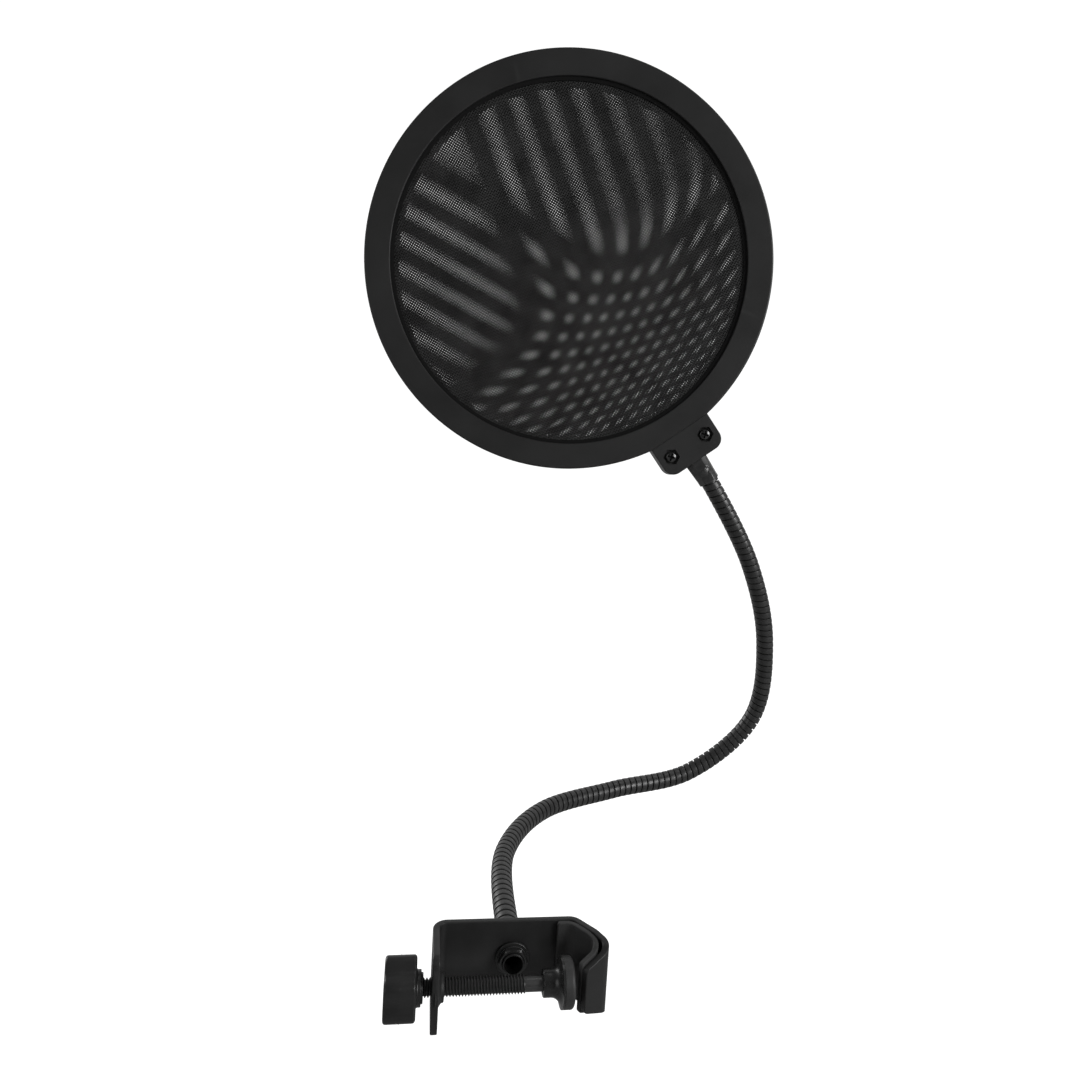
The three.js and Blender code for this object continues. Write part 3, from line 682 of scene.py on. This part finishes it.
def neck_path():
    """The gooseneck's middle line, with two unit vectors across it that don't twist."""
    stud = joint_point("neck_swivel")
    start = np.array([stud[0], low("neck_spring_1")[1], stud[2]])
    ferrule = np.array([stud[0], high("neck_base_ferrule")[1], stud[2]])
    top = head_centre + tab_along * ferrule_end
    inside = head_centre + tab_along * (ferrule_end - COIL_ENDS["seat"])
    line = curve_through([start, ferrule, *bends, top, inside])
    steps = np.linalg.norm(np.diff(line, axis=0), axis=1)
    length = np.concatenate([[0], np.cumsum(steps)])
    tangents = np.gradient(line, length, axis=0)
    tangents /= np.linalg.norm(tangents, axis=1)[:, None]
    across = [unit(np.cross(tangents[0], X_AXIS))]
    for tangent in tangents[1:]:
        across.append(unit(across[-1] - (across[-1] @ tangent) * tangent))
    across = np.array(across)
    return line, length, across, np.cross(tangents, across)


def gooseneck():
    line, length, across, beside = neck_path()

    def at(table, along):
        return np.stack([np.interp(along, length, table[:, k]) for k in range(3)], 1)

    def place(along, angle, radius):
        """About the neck's middle line. The coil is wound left-handed."""
        side = np.cos(angle)[:, None] * at(across, along) - np.sin(angle)[:, None] * at(beside, along)
        return at(line, along) + radius[:, None] * side

    pitch, radius = COIL["pitch"], COIL["radius"]
    gap = COIL["gap"] / pitch
    crown = np.linspace(gap, 1, 8)
    across_band = (crown - gap) / (1 - gap) * 2 - 1
    heights = radius - COIL["crown"] * np.abs(across_band) ** 4 - COIL["tilt"] * across_band
    profile = [(share * gap, radius - COIL["depth"]) for share in COIL_FLOOR]
    profile += [*zip(crown[:-1], heights), (0.995, heights[-1])]  # ends just short of the next turn

    bend_at = [length[np.argmin(np.linalg.norm(line - bend, axis=1))] for bend in bends]
    first, last = COIL_ENDS["start"], length[-1] - COIL_ENDS["stop"]
    between = [(a + b) / 2 for a, b in zip(bend_at, bend_at[1:])]
    breaks = [0, *(round((stop - first) / pitch - 0.5) for stop in between), int((last - first) / pitch) - 1]
    for k, (begin, stop) in enumerate(zip(breaks, breaks[1:]), 1):
        shape = screw_surface(place, profile, pitch, stop - begin, 40, first + begin * pitch)
        made = make(f"gooseneck_{k}", shape, coil_finish, sharp=50)
        nodes = [f"neck_coil_{k}", f"neck_spring_{k}"]
        if k == len(bends):
            nodes += [f"neck_coil_{k + 1}", f"neck_spring_{k + 1}"]
        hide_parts(*nodes)
        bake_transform(made)


# ---- The filter head ----


def to_head(shape):
    """A shape drawn with x out through the tab, y across it and z out of the front."""
    points, faces = shape
    axes = np.stack([tab_along, tab_across, head_normal])
    return head_centre + points @ axes, faces


def at_head(points):
    """The same for points only, back from the frame to the head's own axes."""
    return (points - head_centre) @ np.stack([tab_along, tab_across, head_normal]).T


def plate(width, height, corner, edge, bottom, top, offset=(0, 0)):
    """A plate with rounded corners and a rounded upper edge."""
    rows = []
    insets = [(bottom, 0)] + [
        (top - edge * (1 - math.sin(a)), edge * (1 - math.cos(a))) for a in np.linspace(0, TURN / 4, 5)
    ]
    for level, inset in insets:
        x, y = width / 2 - inset, height / 2 - inset
        outline = rounded([(-x, -y), (x, -y), (x, y), (-x, y)], corner - inset, steps=10)
        rows.append(np.column_stack([outline + offset, np.full(len(outline), level)]))
    return grid(np.array(rows), wrap_rows=False)


def hoop_profile():
    """The section of the hoop's front half, as (height, radius)."""
    points = at_head(points_of("front_ring"))
    away_from_tab = points[points[:, 0] < 0]
    rim = np.linalg.norm(away_from_tab[:, :2], axis=1).max()
    depth = away_from_tab[:, 2].max()
    inner_front = depth - HOOP_DISH
    flange, backing = LEDGE["flange"], LEDGE["outer"] + LEDGE["wall"]
    return rounded(
        [(SPLIT, rim), (depth, rim), (inner_front, flange), (LEDGE["front"], flange),
         (LEDGE["rim"], LEDGE["inner"]), (LEDGE["back"], LEDGE["inner"]), (LEDGE["back"], LEDGE["outer"]),
         (SPLIT, LEDGE["outer"]), (SPLIT, backing), (inner_front - HOOP_FLANGE, backing),
         (depth - HOOP_FLANGE, rim - HOOP_WALL), (SPLIT, rim - HOOP_WALL)],
        [0.12, 0.7, 0.6, 0.05, 0.1, 0.1, 0, 0, 0, 0, 0, 0], steps=5,
    )


def hoop_half(name):
    """A half of the hoop with its half of the tab. Above the tab the hoop's face ends in a step."""
    made = make(name, to_head(lathe(hoop_profile(), np.zeros(3), Z_AXIS, sides=288)), hoop_plastic)
    root, front = TAB["chord"] - TAB["root"], TAB["front"]
    length = 2 * (TAB["reach"] - root)
    middle = (TAB["reach"] - length / 2, 0)
    tab_points, tab_faces = plate(length, TAB["width"], TAB["corner"], TAB["edge"], SPLIT, front, middle)
    tab_points[:, 0] = np.maximum(tab_points[:, 0], root)
    combine(made, make("tab", to_head((tab_points, tab_faces)), hoop_plastic), "UNION", BLOCK_SHARP)
    reach, width = STEP["reach"], TAB["width"] - STEP["trim"]
    step_points, step_faces = plate(2 * reach, width, *STEP["rounding"], front, front + STEP["height"])
    step_points[:, 0] += TAB["chord"] + reach
    at_chord, at_top = step_points[:, 0] < TAB["chord"] + 1, step_points[:, 2] > front + 1
    step_points[at_chord & at_top, 0] -= STEP["slope"]
    combine(made, make("step", to_head((step_points, step_faces)), hoop_plastic), "DIFFERENCE", BLOCK_SHARP)
    return made


def paint_ledge_shade(made):
    """The ledge lies deep in the hoop; its faces are painted a dull black as painted shade."""
    made.data.materials.append(ledge_painted_shade)
    for face in made.data.polygons:
        x, y, z = at_head(np.array(face.center) / MM)
        if math.hypot(x, y) < LEDGE["flange"] + 0.02 and abs(z) < LEDGE["front"] + 0.05:
            face.material_index = 1


def tab_cuts(made):
    """The groove for the upper ferrule, and a hex pocket and a hole for each screw."""
    start, end = GROOVE["from"], GROOVE["to"]
    points, faces = lathe([(start, 0), (start, 1), (end, 1), (end, 0)], np.zeros(3), X_AXIS, sides=48)
    points[:, 1] *= FERRULE["wide"] + GROOVE["play"]
    points[:, 2] *= FERRULE["thin"] + GROOVE["play"]
    combine(made, make("groove", to_head((points, faces)), hoop_plastic), "DIFFERENCE", BLOCK_SHARP)
    floor, above = TAB["front"] - POCKET["depth"], TAB["front"] + 2
    hole, corner = POCKET["hole"], POCKET["across"]
    profile = [(-1, 0), (-1, hole), (floor, hole), (floor, corner), (above, corner), (above, 0)]
    for node in ("tab_screw_left", "tab_screw_right"):
        x, y, _ = at_head(centre(node))
        tool = lathe(profile, np.array([x, y, 0]), Z_AXIS, 48, Y_AXIS, hexagonal(POCKET["across"]))
        combine(made, make("pocket", to_head(tool), hoop_plastic), "DIFFERENCE", BLOCK_SHARP)


def hoop():
    front = hoop_half("hoop_front")
    tab_cuts(front)
    paint_ledge_shade(front)
    rear = bpy.data.objects.new("hoop_rear", front.data.copy())
    bpy.context.scene.collection.objects.link(rear)
    pivot = Matrix.Translation(Vector(head_centre * MM))
    turn_over = pivot @ Matrix.Rotation(math.pi, 4, Vector(tab_along)) @ pivot.inverted()
    rear.data.transform(turn_over)
    install(front, "front_ring")
    install(rear, "rear_ring")


weave_turn = math.radians(SHEET["turn"])
level_across = unit(np.cross(Z_AXIS, head_normal))
level_up = np.cross(head_normal, level_across)
weave_axes = np.stack([
    math.cos(weave_turn) * level_across + math.sin(weave_turn) * level_up,
    math.cos(weave_turn) * level_up - math.sin(weave_turn) * level_across,
    head_normal,
])


def parting(course, x):
    """How far the sheets part at x: nothing before its start, then at its rate, with a soft turn."""
    rate, start, soft = PARTING[course]
    return rate * (soft * np.log1p(np.exp((x - start) / soft)))


def stretched(u, v, side):
    """A point of an even weave moved to where the front or the rear sheet has it. The sheets are
    stretched unevenly, most towards the lower right, and that draws the fringes seen through both.
    along_u and along_v are how far the sheets lie apart, in pitches."""
    turned = math.cos(weave_turn) * u - math.sin(weave_turn) * v
    s = turned / SHEET["radius"]
    t = -(math.sin(weave_turn) * u + math.cos(weave_turn) * v) / SHEET["radius"]
    corner = np.maximum(s + t, 0)
    along_u = parting("down", t - PARTING_SLOPE * s) + CORNER_PULL[0] * corner**2 + SHIFT[0]
    along_v = parting("right", s - PARTING_SLOPE * t) + parting("corner", s + t)
    along_v += CORNER_PULL[1] * corner**3 + SHIFT[1]
    half = side * WEAVE["pitch"] / 2  # and the front sheet is a little tighter than the rear one
    return u + half * (along_u - u / SHEET["radius"]), v + half * (along_v - v / SHEET["radius"])


def threads(lengthwise, side):
    """One family of a sheet's threads, over and under the other by turns. side is 1 in front, -1 behind."""
    pitch, reach = WEAVE["pitch"], SHEET["radius"]
    half_width, half_thick = WEAVE["width"] / 2, WEAVE["thickness"] / 2
    most = int(1.12 * reach / pitch)  # a few more threads than a sheet needs
    j = np.arange(-most, most + 1)
    sections = [(-half_width, 0), (0, -half_thick), (half_width, 0), (0, half_thick)]
    shapes = []
    for i in j:
        lift = WEAVE["lift"] * np.where((i + j + lengthwise) % 2, 1, -1)
        rows = []
        for across, above in sections:
            sideways = np.full(len(j), i * pitch + across)
            u, v = (sideways, j * pitch) if lengthwise else (j * pitch, sideways)
            u, v = stretched(u, v, side)
            rows.append(np.stack([u, v, side * SHEET["level"] + lift + above], 1))
        rows = np.stack(rows, 1)
        middle = rows.mean(1)
        inside = np.flatnonzero(np.hypot(middle[:, 0], middle[:, 1]) < reach)
        if len(inside) > 3:
            shapes.append(grid(rows[inside[0] : inside[-1] + 1], wrap_rows=False))
    points, faces = merge(*shapes)
    return head_centre + points @ weave_axes, faces


def meshes():
    for side, name in ((1, "front"), (-1, "rear")):
        for lengthwise, family in ((1, "warp"), (0, "weft")):
            sheet = make(f"mesh_{name}_{family}", threads(lengthwise, side), nylon, sharp=180)
            install(sheet, f"{name}_mesh")


def tab_screw(side, seat):
    """A pan head with a cross recess, its shank going down into the nut."""
    x, y, _ = at_head(centre(f"tab_screw_{side}"))
    origin = np.array([x, y, 0])
    shank_end = at_head(points_of(f"tab_screw_{side}"))[:, 2].min()
    head, shank, rise = TAB_SCREW["head"], TAB_SCREW["shank"], TAB_SCREW["rise"]
    profile = rounded(
        [(shank_end, 0), (shank_end, shank), (seat, shank), (seat, head), (seat + PAN["side"] * rise, head),
         (seat + rise, PAN["top"] * head), (seat + rise, 0)],
        [0, 0.2, 0, 0.1, 0.75, 0.8, 0], steps=6,
    )
    shape = to_head(lathe(profile, origin, Z_AXIS, sides=64, start=X_AXIS))
    screw = make(f"tab_pan_screw_{side}", shape, screw_finish, SCREW_SHARP)
    # The cross recess's faces take the darker metal: painted shade in the cross.
    screw.data.materials.append(recess_painted_shade)
    for turn in (TAB_SCREW["turn"], TAB_SCREW["turn"] + 90):
        bottom, top = seat + CROSS["floor"] * rise, seat + 2 * rise
        points, faces = plate(CROSS["length"], CROSS["width"], *CROSS["rounding"], bottom, top)
        points[:, 1] *= CROSS["middle"] - CROSS["taper"] * np.abs(points[:, 0]) / (CROSS["length"] / 2)
        cos, sin = math.cos(math.radians(turn)), math.sin(math.radians(turn))
        spin = np.array([[cos, sin, 0], [-sin, cos, 0], [0, 0, 1]])
        recess = make("recess", to_head((points @ spin + origin, faces)), screw_finish)
        recess.data.materials.append(recess_painted_shade)
        for face in recess.data.polygons:
            face.material_index = 1
        combine(screw, recess, "DIFFERENCE", SCREW_SHARP)
    install(screw, f"tab_screw_{side}")


def tab_nut(side):
    x, y, _ = at_head(centre(f"tab_nut_{side}"))
    depths = at_head(points_of(f"tab_nut_{side}"))[:, 2]
    across, bore = TAB_NUT["across"], TAB_SCREW["shank"] + TAB_NUT["play"]
    near, far = depths.min(), depths.max()
    profile = [
        (near, bore + BORE_CHAMFER), (near, across / 2), (near + NUT_CHAMFER, across), (far, across),
        (far, bore), (near + BORE_CHAMFER, bore),
    ]
    shape = lathe(profile, np.array([x, y, 0]), Z_AXIS, 96, Y_AXIS, hexagonal(across))
    install(make(f"tab_hex_nut_{side}", to_head(shape), black_steel, NUT_SHARP), f"tab_nut_{side}")


def tab_hardware():
    seat = TAB["front"] - POCKET["depth"] + TAB_SCREW["lift"]
    for side in ("left", "right"):
        tab_screw(side, seat)
        tab_nut(side)


def evenly(outline, count):
    """Points spaced evenly along a closed outline, from its first."""
    closed = np.concatenate([outline, outline[:1]])
    length = np.concatenate([[0], np.cumsum(np.linalg.norm(np.diff(closed, axis=0), axis=1))])
    at = np.arange(count) * length[-1] / count
    return np.stack([np.interp(at, length, closed[:, 0]), np.interp(at, length, closed[:, 1])], 1)


def upper_ferrule():
    """A tube squeezed flat inside the tab. It rounds out in long creased facets to hold the coil."""
    start = ((ferrule_points - head_centre) @ tab_along).min()
    end, flat_to, round_from = ferrule_end, TAB["reach"] - FERRULE["inside"], ferrule_end - 2
    lip_start, count, spacing = end - FERRULE_LIP["length"], 160, 0.2
    front = np.radians(CREASES)
    angles = np.concatenate([front, -front[::-1]])
    stations = [start, *np.arange(flat_to, lip_start, spacing), lip_start, end - 0.1, end]
    rows = []
    for x in stations:
        share = np.clip((x - flat_to) / (round_from - flat_to), 0, 1)
        y_half = FERRULE["wide"] + (FERRULE["round"] - FERRULE["wide"]) * share
        z_half = FERRULE["thin"] + (FERRULE["round"] - FERRULE["thin"]) * share
        corners = np.stack([np.cos(angles) * y_half, np.sin(angles) * z_half], 1)
        ridge = FERRULE_RIDGE["flat"] + FERRULE_RIDGE["growth"] * share
        y, z = evenly(rounded(corners, ridge), count).T
        spread = (x - TAB["reach"] - DIMPLE["along"]) ** 2 + (y - DIMPLE["across"]) ** 2
        dent = DIMPLE["depth"] * np.exp(-((spread / DIMPLE["width"] ** 2) ** 2))
        z = z - np.where(z > 0, dent, 0)
        drawn_in = np.clip((x - lip_start) / FERRULE_LIP["length"], 0, 1) ** 2
        lip = 1 - FERRULE_LIP["draw"] * drawn_in
        rows.append(np.column_stack([np.full(count, x), y * lip, z * lip]))
    socket = evenly(rounded(np.stack([np.cos(angles), np.sin(angles)], 1), 1, steps=5), count)
    socket *= FERRULE["socket"] / np.linalg.norm(socket, axis=1)[:, None]
    for x in (end, end - FERRULE["rounding"]):
        rows.append(np.column_stack([np.full(count, x), socket]))
    shape = to_head(grid(np.array(rows), wrap_rows=False))
    return install(make("neck_ferrule_upper", shape, ferrule_finish, 30), "top_ferrule")


# ---- Stage, light and camera ----

STAGE = {"floor": -0.14, "radius": 2.2, "top": 2.4, "sweep": 1.2, "thickness": 0.02}  # in metres
FLOOR_TINT = (0.34, 0.38)
FLOOR_PATCHES = 6  # in a metre
BACKDROP = (0.1, 1.4)  # the glow sets in over this distance behind the object, in metres
BACKDROP_GLOW = 0.5  # radiance of the backdrop on the object
SEEN_GLOW = 0.93  # radiance added to the floor where the camera sees it
SKY = 0.22
# Each light's place and size in metres, and its power in watts.
LIGHTS = {
    "key": ((0.85, -0.7, 0.5), 0.5, 10),
    "fill": ((-0.8, -0.55, 0.35), 0.7, 1.5),
    "top": ((0.4, 0.3, 1.1), 0.6, 1.5),
    "rear": ((-0.8, 0.8, 0.4), 0.6, 5),
}
LIGHTS_AIM = (0.03, 0.05, 0.15)  # the place that all of them face


def stage_line(out):
    """The line of the floor and the wall, this far out from their inner face."""
    floor, radius = STAGE["floor"] - out, STAGE["radius"] + out
    corners = [(floor, 0), (floor, radius), (STAGE["top"], radius)]
    return rounded(corners, [0, STAGE["sweep"] + out, 0], steps=32, closed=False)


def stage():
    """A pale round floor that sweeps up all round, out of sight of every edge."""
    profile = np.concatenate([stage_line(0), stage_line(STAGE["thickness"])[::-1]]) / MM
    shape = lathe(profile, np.zeros(3), Z_AXIS, sides=128)
    material = bpy.data.materials.new("pale_floor")
    material.use_nodes = True
    nodes, links = material.node_tree.nodes, material.node_tree.links
    shader = nodes["Principled BSDF"]
    texture = nodes.new("ShaderNodeTexNoise")
    texture.inputs["Scale"].default_value = FLOOR_PATCHES
    tint = nodes.new("ShaderNodeMapRange")
    tint.inputs["To Min"].default_value, tint.inputs["To Max"].default_value = FLOOR_TINT
    links.new(texture.outputs["Fac"], tint.inputs["Value"])
    links.new(tint.outputs["Result"], shader.inputs["Base Color"])
    shader.inputs["Roughness"].default_value = 0.9
    # The backdrop behind the object glows, and to the camera the floor does too, as a light table.
    place = nodes.new("ShaderNodeTexCoord")
    split = nodes.new("ShaderNodeSeparateXYZ")
    behind = nodes.new("ShaderNodeMapRange")
    behind.inputs["From Min"].default_value, behind.inputs["From Max"].default_value = BACKDROP
    behind.inputs["To Max"].default_value = BACKDROP_GLOW
    links.new(place.outputs["Object"], split.inputs["Vector"])
    links.new(split.outputs["Y"], behind.inputs["Value"])
    seen = nodes.new("ShaderNodeLightPath")
    strength = nodes.new("ShaderNodeMix")
    strength.inputs["B"].default_value = SEEN_GLOW
    links.new(seen.outputs["Is Camera Ray"], strength.inputs["Factor"])
    links.new(behind.outputs["Result"], strength.inputs["A"])
    links.new(strength.outputs["Result"], shader.inputs["Emission Strength"])
    shader.inputs["Emission Color"].default_value = (1, 1, 1, 1)
    make("pale_floor", shape, material, sharp=180)


def light(name, place, size, power):
    lamp = bpy.data.lights.new(name, "AREA")
    lamp.shape = "DISK"
    lamp.size = size
    lamp.energy = power
    holder = bpy.data.objects.new(name, lamp)
    holder.location = place
    holder.rotation_euler = (Vector(LIGHTS_AIM) - Vector(place)).to_track_quat("-Z", "Y").to_euler()
    bpy.context.scene.collection.objects.link(holder)


def lights():
    for name, (place, size, power) in LIGHTS.items():
        light(name, place, size, power)
    world = bpy.data.worlds.new("soft_sky")
    world.use_nodes = True
    world.node_tree.nodes["Background"].inputs["Color"].default_value = (1, 1, 1, 1)
    world.node_tree.nodes["Background"].inputs["Strength"].default_value = SKY
    bpy.context.scene.world = world
    bpy.context.scene.view_settings.view_transform = "Standard"


def camera():
    data = bpy.data.cameras.new("camera")
    data.sensor_width = 36
    data.lens = CAMERA["lens"]
    data.clip_start = 0.01
    holder = bpy.data.objects.new("camera", data)
    straight = (Vector(CAMERA["aim"]) - Vector(CAMERA["place"])).to_track_quat("-Z", "Y")
    roll = Matrix.Rotation(math.radians(CAMERA["roll"]), 4, "Z")
    place = Matrix.Translation(Vector(CAMERA["place"]) * MM)
    holder.matrix_world = place @ straight.to_matrix().to_4x4() @ roll
    bpy.context.scene.collection.objects.link(holder)
    bpy.context.scene.camera = holder


# ---- Everything together ----

bracket()
liner()
thumbscrew()
knob()
pad()
base_fittings()
gooseneck()
hoop()
meshes()
tab_hardware()
upper_ferrule()
# Two hidden pieces keep their CAD shape.
for kept, finish in (("swivel_clip", drawn_steel), ("mesh_spacer", hoop_plastic)):
    frame["nodes"][kept].data.materials.clear()
    frame["nodes"][kept].data.materials.append(finish)
stage()
lights()
camera()
